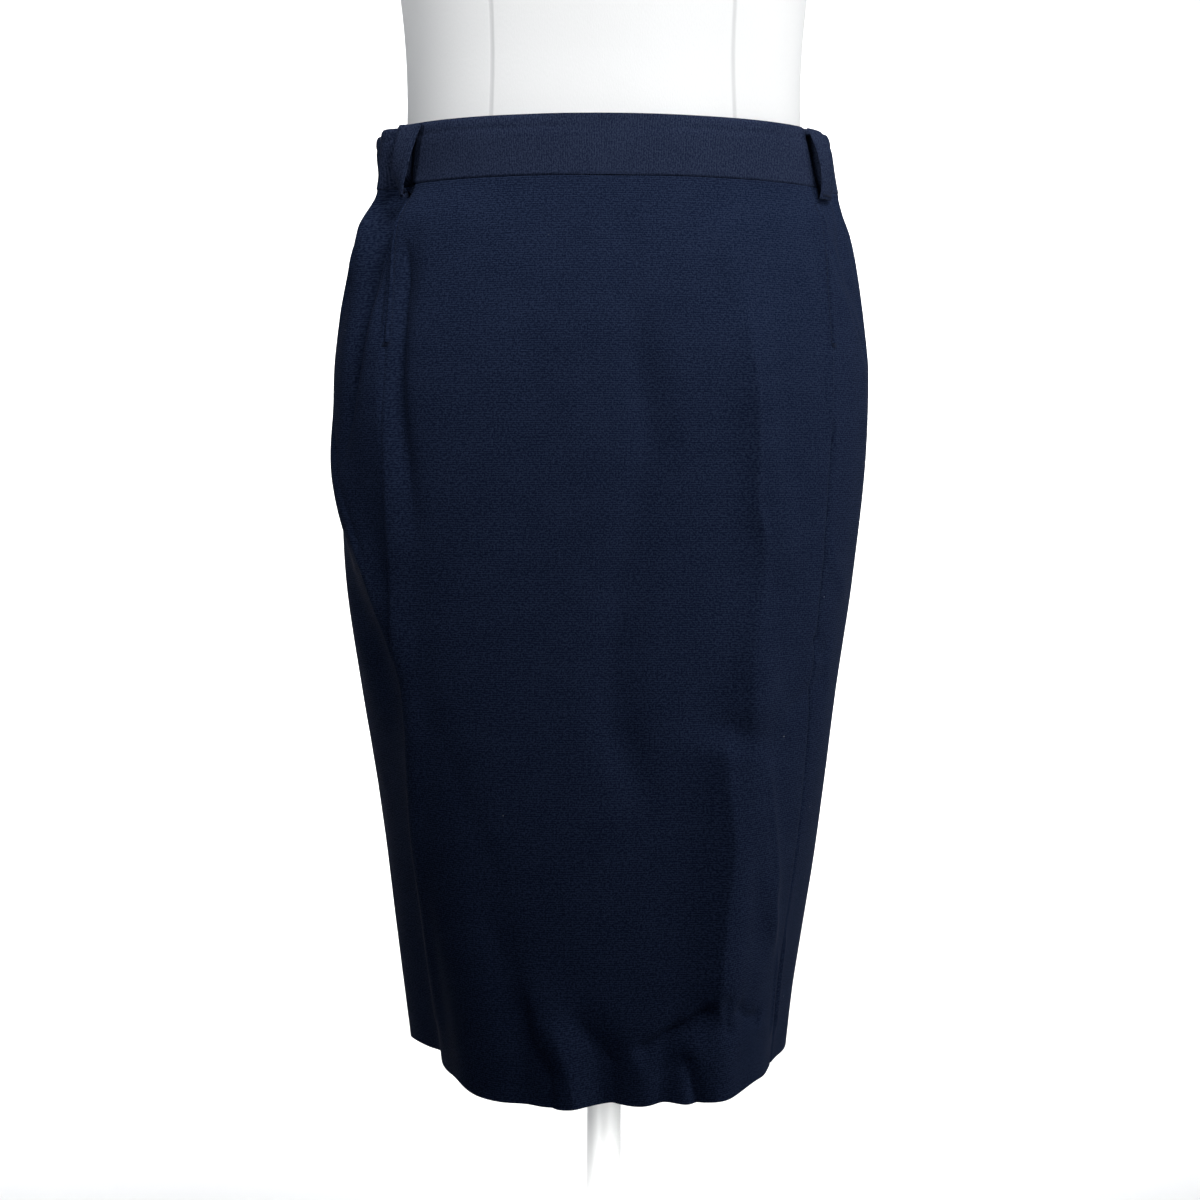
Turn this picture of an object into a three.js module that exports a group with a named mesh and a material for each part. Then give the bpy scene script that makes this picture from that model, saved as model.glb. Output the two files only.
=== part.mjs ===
// A navy pencil skirt with a flat front waistband and an elastic back, worn by a dress form on a floor stand.
// Millimetres, +Z up, the front facing -Y. Heights in the tables are above the skirt's hem.
import * as THREE from 'three';

// Driving dimensions
const HEM_HEIGHT = 365; // floor to hem
const SKIRT_LENGTH = 635; // hem to the top of the waistband
const BAND_HEIGHT = 39;
const CLOTH = 1.9; // wall of the panels
const BAND_PROUD = 0.8; // the doubled waistband stands this much outside the panels
const SEAM_GAP = 0.3;
const BAND_BOTTOM = SKIRT_LENGTH - BAND_HEIGHT;
const LOOP_WIDTH = 14;
const LOOP_CLOTH = 1.6;
const LOOP_SEAT = 0.6; // how far a loop's ends stand off the band's fullest point
const LAP_WIDTH = 3;
const LAP_LENGTH = 104;
const LAP_CLOTH = 1;
const FORM_BOTTOM = 298;
const NECK_TOP = 1172;
const POLE_RADIUS = 12;
const BASE_RADIUS = 170;
const BASE_THICK = 6;

const NAVY = new THREE.MeshStandardMaterial({ color: 0x1b2336, roughness: 0.92, metalness: 0 });
const WHITE_JERSEY = new THREE.MeshStandardMaterial({ color: 0xe9e9e8, roughness: 0.85, metalness: 0 });
const WHITE_ENAMEL = new THREE.MeshStandardMaterial({ color: 0xf1f1ef, roughness: 0.4, metalness: 0 });

// A short table whose columns are named in its first line
function table(columns, ...rows) {
  const names = columns.split(' ');
  return rows.map((row) => Object.fromEntries(names.map((name, i) => [name, row[i]])));
}

// Sections of the skirt's outside: half widths to each side, depth to front and back of the axis, the line
// where the section is widest, and how square its corners are.
const SKIRT = table(
  'height left right front back middle square',
  [0, 134, 128, 132, 142, 8, 2.2],
  [60, 141, 134.5, 133, 143, 8, 2.25],
  [150, 152, 148, 132, 144, 8, 2.3],
  [250, 167.5, 160, 129, 144, 6, 2.3],
  [330, 178.5, 171, 127, 143, 4, 2.25],
  [420, 185, 180, 126, 142, 2, 2.2],
  [480, 185, 181, 124, 139, 0, 2.15],
  [530, 177, 175, 120, 133, 0, 2.1],
  [570, 167, 167, 116, 125, 0, 2.1],
  [596, 150.5, 158, 114, 118, 0, 2.1],
  [635, 152, 152.5, 111.5, 113, 0, 2.1],
);

// Where the side seams run, in degrees from the front centre
const SEAMS = table(
  'height left right',
  [0, -74, 60],
  [120, -67, 57],
  [300, -60, 58],
  [460, -62.5, 61.5],
  [596, -66, 65.5],
  [635, -63, 64.5],
);

// Folds in the cloth. Each runs down from top to bottom through three angles, pushes the wall out by depth,
// or in where depth is negative, is about width degrees wide, and fades over a length below its top and above
// its bottom. The rows go round from the left seam over the front to the right one, then over the back.
const FOLDS = table(
  'name top bottom from via to depth width fadeBelow fadeAbove',
  ['left seam ridge', 470, 0, -59.5, -56, -62, 4, 4, 120, 90],
  ['left seam trough', 470, 0, -64, -70, -77, -18.5, 15, 380, 0],
  ['left corner ease', 180, 0, -60, -58, -56, -8, 10, 140, 0],
  ['left hip ridge', 460, 265, -87, -73, -60, 5, 6, 60, 60],
  ['left hip trough', 430, 220, -92, -80, -66, -4, 7, 60, 80],
  ['left waist trough', 625, 470, -73, -70, -72, -6.5, 4, 45, 80],
  ['left waist ridge', 630, 490, -78, -79, -89, 3, 3.5, 40, 50],
  ['front left trough', 580, 350, -55, -58, -52, -2.5, 3, 60, 90],
  ['hem trough 1', 180, 0, -37, -30, -25, -3, 4.5, 90, 0],
  ['hem ridge 1', 110, 0, -22, -18, -15, 6, 6, 80, 0],
  ['hem trough 2', 75, 0, -8, -3, -2, -5, 5, 60, 0],
  ['centre trough, upper', 545, 300, 6, 12, 2, -2.6, 5, 90, 40],
  ['centre trough, lower', 335, 165, 3, -1, 9, -2.6, 5, 40, 70],
  ['hem trough 3', 75, 0, 16, 14, 13, -3, 3.5, 60, 0],
  ['hem ridge 2', 80, 0, 22, 20, 19, 4, 4, 60, 0],
  ['right corner, upper', 530, 325, 40, 40, 46, 3, 5, 80, 40],
  ['right corner, lower', 345, 0, 40, 32, 28, 6, 6, 80, 0],
  ['right low ridge', 230, 65, 38, 40, 48, 3, 4, 60, 60],
  ['right side hollow', 260, 0, 60, 58, 60, -7, 13, 200, 0],
  ['right waist ridge', 590, 465, 63, 69, 78, 2.5, 4, 40, 60],
  ['right waist trough', 596, 480, 70, 76, 84, -3.5, 4.5, 40, 60],
  ['back right ridge', 360, 0, 112, 116, 120, 6, 8, 220, 0],
  ['back right trough', 400, 0, 140, 146, 150, -7, 8, 240, 0],
  ['back centre ridge', 320, 0, 178, -178, -172, 4, 9, 220, 0],
  ['back left trough', 360, 0, -128, -134, -136, -7, 8, 220, 0],
  ['back left ridge', 380, 0, -108, -110, -107, 6, 11, 220, 0],
);

// Where the hem hangs higher, each about width degrees wide
const HEM_RISES = table(
  'angle rise width',
  [-140, 3, 14],
  [-96, 6, 14],
  [-72, 9, 14],
  [-50, 5, 9],
  [-4, 2, 7],
  [13, 2, 4],
  [44, 4, 8],
  [64, 7, 12],
  [84, 10, 13],
  [110, 4, 16],
  [152, 3, 12],
);
const RISE_FADE = 110; // how far up the cloth a rise is felt

// Gathers of the elastic back, counted from the left seam round the back to the right one
const GATHERS = 21;
const GATHER_DEPTH = 5;
const GATHER_FADE = 44; // how fast they die away below the band
const DRAPE_DEPTH = 2.5; // the wider folds that hang on from the gathers
const DRAPE_FADE = 150;
const QUIET_SIDE = 0.75; // the gathers beside the right seam are this much flatter
const BAND_TUCK = 2.2; // the elastic band starts this far inside the front band's ends

// Sections of the dress form, which is the same on both sides
const FORM = table(
  'height wide front back middle square',
  [298, 148, 95, 112, 6, 2.3],
  [303, 155, 101, 119, 6, 2.3],
  [320, 159, 106, 125, 6, 2.3],
  [360, 164, 112, 132, 5, 2.25],
  [420, 170, 117, 136, 3, 2.2],
  [470, 169, 118.5, 134, 1, 2.15],
  [520, 160, 116, 126, 0, 2.1],
  [560, 146, 112.6, 116, 0, 2.1],
  [596, 138, 111.6, 108, 0, 2.1],
  [635, 134.6, 109.1, 104, 0, 2.1],
  [677, 134.4, 107, 101, 0, 2.1],
  [720, 137.5, 109, 102, 0, 2.1],
  [780, 146, 114, 105, 0, 2.15],
  [830, 153, 119, 108, 0, 2.2],
  [880, 157, 120, 111, 0, 2.25],
  [930, 159, 114, 115, 2, 2.3],
  [980, 163, 103, 119, 5, 2.3],
  [1020, 172, 92, 119, 8, 2.25],
  [1045, 180, 84, 116, 10, 2.2],
  [1060, 181, 79, 112, 11, 2.15],
  [1070, 174, 75, 108, 12, 2.1],
  [1082, 150, 69, 102, 13, 2.05],
  [1094, 119, 63, 95, 13, 2],
  [1106, 90, 57, 86, 12, 2],
  [1118, 70, 51, 75, 11, 2],
  [1134, 59, 47, 66, 9, 2],
  [1160, 55.5, 46, 62, 8, 2],
  [1168, 53.5, 44, 60, 8, 2],
  [1172, 48, 38.5, 54.5, 8, 2],
);
const FORM_SIDES = 32;
const WIDE_STEP = 30; // sections further apart than this get a ring between them
const BUST = { height: 868, tall: 46, angle: 26, wide: 22, depth: 15 };

const radians = (degrees) => (degrees * Math.PI) / 180;
const clamp = (x) => Math.min(1, Math.max(0, x));
const smooth = (x) => clamp(x) ** 2 * (3 - 2 * clamp(x));
const mix = (a, b, t) => a + (b - a) * t;
const bell = (x) => Math.exp(-x * x);
const turned = (degrees) => ((((degrees + 180) % 360) + 360) % 360) - 180;

// A column of a table at any height, on a smooth curve through its rows.
function follow(table, column, height) {
  const last = table.length - 1;
  let i = 0;
  while (i < last - 1 && height > table[i + 1].height) i += 1;
  const slope = (k) => {
    const a = table[Math.max(0, k - 1)];
    const b = table[Math.min(last, k + 1)];
    return (b[column] - a[column]) / (b.height - a.height);
  };
  const step = table[i + 1].height - table[i].height;
  const t = clamp((height - table[i].height) / step);
  const bend = t * t * (3 - 2 * t);
  const start = t * (1 - t) ** 2 * step * slope(i);
  const end = t * t * (t - 1) * step * slope(i + 1);
  return mix(table[i][column], table[i + 1][column], bend) + start + end;
}

// Radius of a rounded-square section in the direction of an angle.
function sectionRadius(angle, left, right, front, back, square) {
  const across = Math.sin(radians(angle));
  const ahead = Math.cos(radians(angle));
  const side = Math.abs(across) / (across > 0 ? right : left);
  const depth = Math.abs(ahead) / (ahead > 0 ? front : back);
  return (side ** square + depth ** square) ** (-1 / square);
}

function polarPoint(angle, radius, middle, height) {
  const across = radius * Math.sin(radians(angle));
  const ahead = radius * Math.cos(radians(angle));
  return new THREE.Vector3(across, middle - ahead, HEM_HEIGHT + height);
}

function foldPush(angle, height) {
  let push = 0;
  for (const fold of FOLDS) {
    const t = (fold.top - height) / (fold.top - fold.bottom);
    if (t <= 0 || t > 1.001) continue;
    const centre =
      t < 0.5
        ? fold.from + turned(fold.via - fold.from) * smooth(t) * 2
        : fold.via + turned(fold.to - fold.via) * (smooth(t) * 2 - 1);
    const onset = smooth((fold.top - height) / fold.fadeBelow);
    const ending = fold.fadeAbove ? smooth((height - fold.bottom) / fold.fadeAbove) : 1;
    push += fold.depth * bell(turned(angle - centre) / fold.width) * onset * ending;
  }
  return push;
}

function hemLift(angle, height) {
  const rises = HEM_RISES.map((wave) => wave.rise * bell(turned(angle - wave.angle) / wave.width));
  return rises.reduce((sum, rise) => sum + rise, 0) * smooth(1 - height / RISE_FADE);
}

// A point of the cloth's outside, moved out by some millimetres more.
function skirtPoint(angle, height, out = 0) {
  const middle = follow(SKIRT, 'middle', height);
  const radius = sectionRadius(
    angle,
    follow(SKIRT, 'left', height),
    follow(SKIRT, 'right', height),
    follow(SKIRT, 'front', height) + middle,
    follow(SKIRT, 'back', height) - middle,
    follow(SKIRT, 'square', height),
  );
  const pushed = radius + foldPush(angle, height) + out;
  return polarPoint(angle, pushed, middle, height + hemLift(angle, height));
}

// The angle of a gather, which is spaced unevenly round the back.
function gatherAngle(gather, height) {
  const left = follow(SEAMS, 'left', height);
  const span = 360 - (follow(SEAMS, 'right', height) - left);
  const ends = smooth(gather) * smooth(GATHERS - gather);
  const uneven = (1.5 * Math.sin(1.57 * gather) + 0.8 * Math.sin(0.9 * gather)) * ends;
  return left - (gather / GATHERS) * span + uneven;
}

function gatherPush(gather, height) {
  const below = Math.max(0, BAND_BOTTOM - height);
  const inBand = Math.max(0, height - BAND_BOTTOM);
  const ends = 1 - bell(gather / 0.3) - bell((GATHERS - gather) / 0.3);
  const quiet = 1 - QUIET_SIDE * bell((GATHERS - gather) / 2.4);
  const size = 1 + 0.22 * Math.sin(2.1 * gather + 0.6) + 0.14 * Math.sin(5.3 * gather);
  const fine = -Math.cos(2 * Math.PI * gather) * Math.exp(-below / GATHER_FADE) * (1 - inBand / 160);
  const long = Math.sin((2 * Math.PI * gather) / 3 + 1) * Math.exp(-below / DRAPE_FADE) * smooth(below / 40);
  const dropped = smooth(gather / 2) * smooth((GATHERS - gather) / 2);
  return GATHER_DEPTH * size * quiet * ends * fine + DRAPE_DEPTH * dropped * long;
}

// Joins two rows of points, which may differ in number, by a strip of triangles.
function strip(faces, upper, lower) {
  let i = 0;
  let j = 0;
  while (i < upper.length - 1 || j < lower.length - 1) {
    const nextUpper = (i + 1) / (upper.length - 1);
    const nextLower = (j + 1) / (lower.length - 1);
    if (i < upper.length - 1 && nextUpper <= nextLower + 1e-9) {
      faces.push(upper[i], lower[j], upper[i + 1]);
      i += 1;
    } else {
      faces.push(upper[i], lower[j], lower[j + 1]);
      j += 1;
    }
  }
}

function geometryOf(points, faces) {
  const geometry = new THREE.BufferGeometry();
  geometry.setAttribute('position', new THREE.Float32BufferAttribute(points.flatMap((p) => p.toArray()), 3));
  geometry.setIndex(faces);
  geometry.computeVertexNormals();
  return geometry;
}

// A closed wall of cloth from rows of [outside point, inside point], top row first.
function wall(rows) {
  const points = [];
  const faces = [];
  const outer = [];
  const inner = [];
  for (const row of rows) {
    outer.push(row.map(([outside]) => points.push(outside) - 1));
    inner.push(row.map(([, inside]) => points.push(inside) - 1));
  }
  for (let i = 0; i < rows.length - 1; i += 1) {
    strip(faces, outer[i], outer[i + 1]);
    const inside = [];
    strip(inside, inner[i], inner[i + 1]);
    for (let k = 0; k < inside.length; k += 3) faces.push(inside[k], inside[k + 2], inside[k + 1]);
  }
  const first = (row) => row[0];
  const last = (row) => row[row.length - 1];
  strip(faces, inner[0], outer[0]);
  strip(faces, last(outer), last(inner));
  strip(faces, outer.map(first), inner.map(first));
  strip(faces, inner.map(last), outer.map(last));
  return geometryOf(points, faces);
}

function levels(top, bottom, count) {
  return Array.from({ length: count + 1 }, (_, i) => mix(top, bottom, i / count));
}

// Degrees that a distance along the cloth takes up at an angle and height.
function degreesOf(length, angle, height) {
  const middle = follow(SKIRT, 'middle', height);
  const point = skirtPoint(angle, height);
  return (length / Math.hypot(point.x, point.y - middle)) * (180 / Math.PI);
}

// Heights of the front panel's rows. The side laps end on rows of their own.
const LAP_TOP = BAND_BOTTOM - 9.5;
const LAP_END = BAND_BOTTOM - LAP_LENGTH;
const LAP_ROWS = levels(LAP_TOP, LAP_END, 4);
const FRONT_ROWS = [BAND_BOTTOM - SEAM_GAP, ...LAP_ROWS, ...levels(LAP_END, 0, 17).slice(1)];

// Angles of the front panel's columns at a height. The first and last are as far apart as a lap is wide.
function frontAngles(height, columns = 32) {
  const left = follow(SEAMS, 'left', height);
  const right = follow(SEAMS, 'right', height);
  const half = degreesOf(SEAM_GAP / 2, left, height);
  const lap = degreesOf(LAP_WIDTH, left, height);
  return [left + half, ...levels(left + half + lap, right - half - lap, columns), right - half];
}

// The front panel, between the side seams and under the front band.
function frontPanel() {
  return wall(
    FRONT_ROWS.map((height) =>
      frontAngles(height).map((angle) => [skirtPoint(angle, height), skirtPoint(angle, height, -CLOTH)]),
    ),
  );
}

// One row of the gathered back, right seam last, seen from outside with the angle rising.
function backRow(height, perGather, out, thickness) {
  const count = GATHERS * perGather;
  const edge = SEAM_GAP / 2;
  return Array.from({ length: count + 1 }, (_, i) => {
    const gather = GATHERS * (1 - i / count);
    let angle = gatherAngle(gather, height);
    if (i === 0) angle += degreesOf(edge, angle, height);
    if (i === count) angle -= degreesOf(edge, angle, height);
    const push = gatherPush(gather, height) + out(gather);
    return [skirtPoint(angle, height, push), skirtPoint(angle, height, push - thickness)];
  });
}

// The back panel, from seam to seam round the back. Only its gathered top needs the close columns.
function backPanel(gatheredRows = 5, hangingRows = 15, changeOver = 480) {
  const plain = () => 0;
  const gathered = levels(BAND_BOTTOM - SEAM_GAP, changeOver, gatheredRows);
  const hanging = levels(changeOver, 0, hangingRows).slice(1);
  return wall([
    ...gathered.map((height) => backRow(height, 4, plain, CLOTH)),
    ...hanging.map((height) => backRow(height, 2, plain, CLOTH)),
  ]);
}

// The flat front band, whose ends slope with the seams.
function frontBand(columns = 26, rows = 3) {
  return wall(
    levels(SKIRT_LENGTH, BAND_BOTTOM, rows).map((height) => {
      const left = follow(SEAMS, 'left', height);
      const right = follow(SEAMS, 'right', height);
      const half = degreesOf(SEAM_GAP / 2, left, height);
      return levels(left + half, right - half, columns).map((angle) => [
        skirtPoint(angle, height, BAND_PROUD),
        skirtPoint(angle, height, -CLOTH),
      ]);
    }),
  );
}

function bandTuck(gather) {
  return BAND_PROUD - BAND_TUCK * (bell(gather / 0.45) + bell((GATHERS - gather) / 0.45));
}

function backBand(rows = 3) {
  const heights = levels(SKIRT_LENGTH, BAND_BOTTOM, rows);
  return wall(heights.map((height) => backRow(height, 4, bandTuck, CLOTH + BAND_PROUD)));
}

// How far the bands stand outside the plain section, at the worst place under a loop.
function standsOut(angle, height, side) {
  const spread = levels(-3.5, 3.5, 14);
  return Math.max(
    BAND_PROUD,
    ...spread.map((step) => {
      const seam = follow(SEAMS, side, height);
      const past = side === 'left' ? seam - (angle + step) : angle + step - seam;
      if (past <= 0 || height < BAND_BOTTOM - 12) return 0;
      const front = follow(SEAMS, 'right', height) - follow(SEAMS, 'left', height);
      const gathered = (past / (360 - front)) * GATHERS;
      const gather = side === 'left' ? gathered : GATHERS - gathered;
      return gatherPush(gather, height) + bandTuck(gather);
    }),
  );
}

// A belt loop: a strap from the band's top edge to just under its seam, bowed off the band.
function beltLoop({ side, topAngle, bottomAngle, bow, sag, lean }, rows = 12) {
  const top = SKIRT_LENGTH - 1;
  const bottom = BAND_BOTTOM - 8;
  return wall(
    levels(0, 1, rows).map((t) => {
      const height = mix(top, bottom, t);
      const angle = mix(topAngle, bottomAngle, t);
      const half = degreesOf(LOOP_WIDTH / 2, angle, height);
      const off = standsOut(angle, height, side) + LOOP_SEAT + bow * Math.sin(Math.PI * t ** sag) ** 0.8;
      const leaning = lean * Math.sin(Math.PI * t ** 0.5);
      return levels(angle - half, angle + half, 2).map((a) => {
        const rear = (side === 'left' ? angle - a : a - angle) / half;
        const stand = off + (leaning * (rear + 1)) / 2;
        return [skirtPoint(a, height, stand + LOOP_CLOTH), skirtPoint(a, height, stand)];
      });
    }),
  );
}

// The lapped and stitched top of a side seam: a narrow strip that lies on the front panel's edge.
function sideLap(side) {
  return wall(
    FRONT_ROWS.filter((height) => height <= LAP_TOP && height >= LAP_END).map((height) => {
      const angles = frontAngles(height);
      const edge = side === 'left' ? angles.slice(0, 2) : angles.slice(-2);
      return edge.map((angle) => [
        skirtPoint(angle, height, SEAM_GAP + LAP_CLOTH),
        skirtPoint(angle, height, SEAM_GAP),
      ]);
    }),
  );
}

// The height of each ring of the form, from the neck down
function formHeights() {
  const rows = FORM.map(({ height }) => height).reverse();
  return rows.flatMap((height, i) => {
    const below = rows[i + 1] ?? height;
    const spread = height > SKIRT_LENGTH && height - below > WIDE_STEP;
    return spread ? [height, (height + below) / 2] : [height];
  });
}

// The dress form's body, closed flat at its underside and at the neck
function formBody() {
  const points = [];
  const faces = [];
  const ringAt = (height) => {
    const middle = follow(FORM, 'middle', height);
    const wide = follow(FORM, 'wide', height);
    const front = follow(FORM, 'front', height) + middle;
    const back = follow(FORM, 'back', height) - middle;
    const square = follow(FORM, 'square', height);
    const level = bell((height - BUST.height) / BUST.tall);
    const ring = Array.from({ length: FORM_SIDES }, (_, i) => {
      const angle = (360 * i) / FORM_SIDES - 180;
      const sides = bell((angle - BUST.angle) / BUST.wide) + bell((angle + BUST.angle) / BUST.wide);
      const radius = sectionRadius(angle, wide, wide, front, back, square) + BUST.depth * level * sides;
      return points.push(polarPoint(angle, radius, middle, height)) - 1;
    });
    return [...ring, ring[0]];
  };
  const rings = formHeights().map(ringAt);
  for (let i = 0; i < rings.length - 1; i += 1) strip(faces, rings[i], rings[i + 1]);
  const neck = points.push(new THREE.Vector3(0, follow(FORM, 'middle', NECK_TOP), HEM_HEIGHT + NECK_TOP)) - 1;
  const under = points.push(new THREE.Vector3(0, 0, HEM_HEIGHT + FORM_BOTTOM)) - 1;
  const top = rings[0];
  const bottom = rings[rings.length - 1];
  for (let i = 0; i < FORM_SIDES; i += 1) {
    faces.push(top[i], top[i + 1], neck);
    faces.push(bottom[i + 1], bottom[i], under);
  }
  return geometryOf(points, faces);
}

// A turned piece from its profile of [radius, height] corners, which starts and ends on the axis or closes.
function turning(profile, sides) {
  const geometry = new THREE.LatheGeometry(
    profile.map(([radius, height]) => new THREE.Vector2(radius, height)),
    sides,
  );
  geometry.rotateX(Math.PI / 2);
  return geometry;
}

// The stand: a pole between a base plate and the form, with a collar at each end
const POLE_TOP = HEM_HEIGHT + FORM_BOTTOM - SEAM_GAP;
const BORE = POLE_RADIUS + SEAM_GAP;
const SLEEVE = BORE + 4.7;
const POLE_FOOT = BASE_THICK + SEAM_GAP;
const HUB = { radius: 34, flange: 4, cone: 10, height: 42 };
const SOCKET = { radius: 42, flange: 5, cone: 3, height: 46 };

function pole() {
  return turning([[0, POLE_FOOT], [POLE_RADIUS, POLE_FOOT], [POLE_RADIUS, POLE_TOP], [0, POLE_TOP]], 24);
}

function base() {
  const rim = BASE_RADIUS;
  const edge = BASE_THICK / 2;
  return turning([[0, 0], [rim, 0], [rim, edge], [rim - edge, BASE_THICK], [0, BASE_THICK]], 48);
}

// The collar that holds the pole upright on the base
function hub() {
  const flangeTop = POLE_FOOT + HUB.flange;
  const top = POLE_FOOT + HUB.height;
  const rim = HUB.radius;
  const outside = [[rim, POLE_FOOT], [rim, flangeTop], [SLEEVE + 1, flangeTop + HUB.cone], [SLEEVE, top]];
  return turning([[BORE, POLE_FOOT], ...outside, [BORE, top], [BORE, POLE_FOOT]], 32);
}

// The flanged socket under the form that the pole's top sits in
function socket() {
  const flangeFoot = POLE_TOP - SOCKET.flange;
  const foot = POLE_TOP - SOCKET.height;
  const rim = SOCKET.radius;
  const coneFoot = flangeFoot - SOCKET.cone;
  const outside = [[SLEEVE, foot], [SLEEVE + 1, coneFoot], [rim, flangeFoot], [rim, POLE_TOP]];
  return turning([[BORE, foot], ...outside, [BORE, POLE_TOP], [BORE, foot]], 32);
}

const LOOPS = {
  left: { side: 'left', topAngle: -62.5, bottomAngle: -67, bow: 5.6, sag: 1.4, lean: 4.5 },
  right: { side: 'right', topAngle: 66, bottomAngle: 67.5, bow: 5.2, sag: 1.1, lean: 3 },
};

const PIECES = [
  ['front_panel', frontPanel(), NAVY],
  ['back_panel', backPanel(), NAVY],
  ['waistband_front', frontBand(), NAVY],
  ['waistband_back', backBand(), NAVY],
  ['belt_loop_left', beltLoop(LOOPS.left), NAVY],
  ['belt_loop_right', beltLoop(LOOPS.right), NAVY],
  ['side_lap_left', sideLap('left'), NAVY],
  ['side_lap_right', sideLap('right'), NAVY],
  ['form_body', formBody(), WHITE_JERSEY],
  ['form_socket', socket(), WHITE_ENAMEL],
  ['stand_pole', pole(), WHITE_ENAMEL],
  ['stand_hub', hub(), WHITE_ENAMEL],
  ['stand_base', base(), WHITE_ENAMEL],
];

const object = new THREE.Group();
for (const [name, geometry, material] of PIECES) {
  const mesh = new THREE.Mesh(geometry, material.clone());
  mesh.name = name;
  object.add(mesh);
}
export default object;
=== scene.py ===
"""A navy pencil skirt on a white dress form, which stands on a pole and a round base plate.

Lengths are millimetres until a mesh is made, and MM turns them into metres there. The row's frame has +Z up
and the skirt's front towards -Y. Heights in the cloth's and the form's tables are above the skirt's hem.
Angles are degrees round the body from the front centre, positive towards +X, the wearer's left.
"""
import math

import bpy
import numpy as np
from mathutils import Matrix, Vector, noise


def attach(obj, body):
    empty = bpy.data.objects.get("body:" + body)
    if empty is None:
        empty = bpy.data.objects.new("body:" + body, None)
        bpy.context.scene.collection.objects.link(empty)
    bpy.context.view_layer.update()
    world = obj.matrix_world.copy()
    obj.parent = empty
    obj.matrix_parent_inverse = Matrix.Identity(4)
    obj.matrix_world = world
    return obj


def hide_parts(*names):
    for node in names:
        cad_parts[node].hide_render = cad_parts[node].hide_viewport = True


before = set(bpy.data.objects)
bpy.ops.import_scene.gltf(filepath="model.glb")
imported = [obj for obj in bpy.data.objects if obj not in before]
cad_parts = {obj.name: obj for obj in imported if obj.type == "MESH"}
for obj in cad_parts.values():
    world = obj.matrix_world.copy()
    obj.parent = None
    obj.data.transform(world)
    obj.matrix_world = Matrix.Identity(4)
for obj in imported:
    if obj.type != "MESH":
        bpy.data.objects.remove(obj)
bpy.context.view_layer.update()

# The camera
# It stands level with the hip, a little to the wearer's right of straight ahead, and looks slightly down.
# Its lens takes in the skirt from above the waist to below the hem, as the photograph does.
MM = 0.001
HEM_HEIGHT = 365
CAMERA_AWAY = 1500
CAMERA_TURN = math.radians(-3.5)
CAMERA_DOWN = math.radians(3.35)
CAMERA_HEIGHT = HEM_HEIGHT + 407
CAMERA_ASIDE = -2.8
SENSOR = 36
LENS = 65

ahead = Vector(
    (
        -math.sin(CAMERA_TURN) * math.cos(CAMERA_DOWN),
        math.cos(CAMERA_TURN) * math.cos(CAMERA_DOWN),
        -math.sin(CAMERA_DOWN),
    )
)
aside = Vector((math.cos(CAMERA_TURN), math.sin(CAMERA_TURN), 0))
above = aside.cross(ahead)
eye = Vector((math.sin(CAMERA_TURN), -math.cos(CAMERA_TURN), 0)) * CAMERA_AWAY + aside * CAMERA_ASIDE
eye.z = CAMERA_HEIGHT

camera_data = bpy.data.cameras.new("camera")
camera_data.sensor_width = SENSOR
camera_data.lens = LENS
camera_data.clip_end = 50
camera = bpy.data.objects.new("camera", camera_data)
facing = Matrix((aside, above, -ahead)).transposed().to_4x4()
camera.matrix_world = Matrix.Translation(eye * MM) @ facing
bpy.context.scene.collection.objects.link(camera)
bpy.context.scene.camera = camera


# The floor and the light
# A pale floor, and white paper that turns up behind the object, farther away than any view is taken from.
# A soft lamp hangs high in front, turned a little to the wearer's left, so the cloth darkens towards the
# hem. A smaller one lifts the wearer's right hip, and a tall one stands beside the wearer's left.
class Wire:
    """A socket of a material's nodes. Arithmetic on it adds Math nodes, and node() adds any other node."""

    def __init__(self, tree, socket=None):
        self.tree = tree
        self.socket = socket

    def node(self, kind, settings=None, inputs=None, output=0):
        made = self.tree.nodes.new("ShaderNode" + kind)
        for name, value in (settings or {}).items():
            if name == "stops":
                ramp = made.color_ramp.elements
                while len(ramp) < len(value):
                    ramp.new(0.5)
                for stop, (position, colour) in zip(ramp, value):
                    stop.position = position
                    stop.color = colour
            else:
                setattr(made, name, value)
        for name, value in (inputs or {}).items():
            if isinstance(value, Wire):
                self.tree.links.new(value.socket, made.inputs[name])
            else:
                made.inputs[name].default_value = value
        return Wire(self.tree, made.outputs[output])

    def maths(self, operation, *values):
        return self.node("Math", {"operation": operation}, dict(enumerate(values)))

    def __add__(self, other):
        return self.maths("ADD", self, other)

    __radd__ = __add__

    def __sub__(self, other):
        return self.maths("SUBTRACT", self, other)

    def __rsub__(self, other):
        return self.maths("SUBTRACT", other, self)

    def __mul__(self, other):
        return self.maths("MULTIPLY", self, other)

    __rmul__ = __mul__

    def __abs__(self):
        return self.maths("ABSOLUTE", self)

    def between(self, low, high):
        """0 below low, 1 above high, and a smooth step from one to the other."""
        limits = {"Value": self, "From Min": low, "From Max": high}
        return self.node("MapRange", {"interpolation_type": "SMOOTHSTEP"}, limits)

    def blend(self, first, second):
        """The colour first where this is 0, and second where it is 1."""
        return self.node("Mix", {"data_type": "RGBA"}, {0: self, 6: first, 7: second}, 2)


def material(name, **constants):
    """A new material with a principled shader.

    Returns the material, a wire to start from, and a function that links a wire to a socket.
    """
    made = bpy.data.materials.new(name)
    made.use_nodes = True
    tree = made.node_tree
    shader = tree.nodes["Principled BSDF"]
    for socket, value in constants.items():
        shader.inputs[socket.replace("_", " ")].default_value = value

    def link(socket, wire):
        tree.links.new(wire.socket, shader.inputs[socket])

    return made, Wire(tree), link


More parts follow.
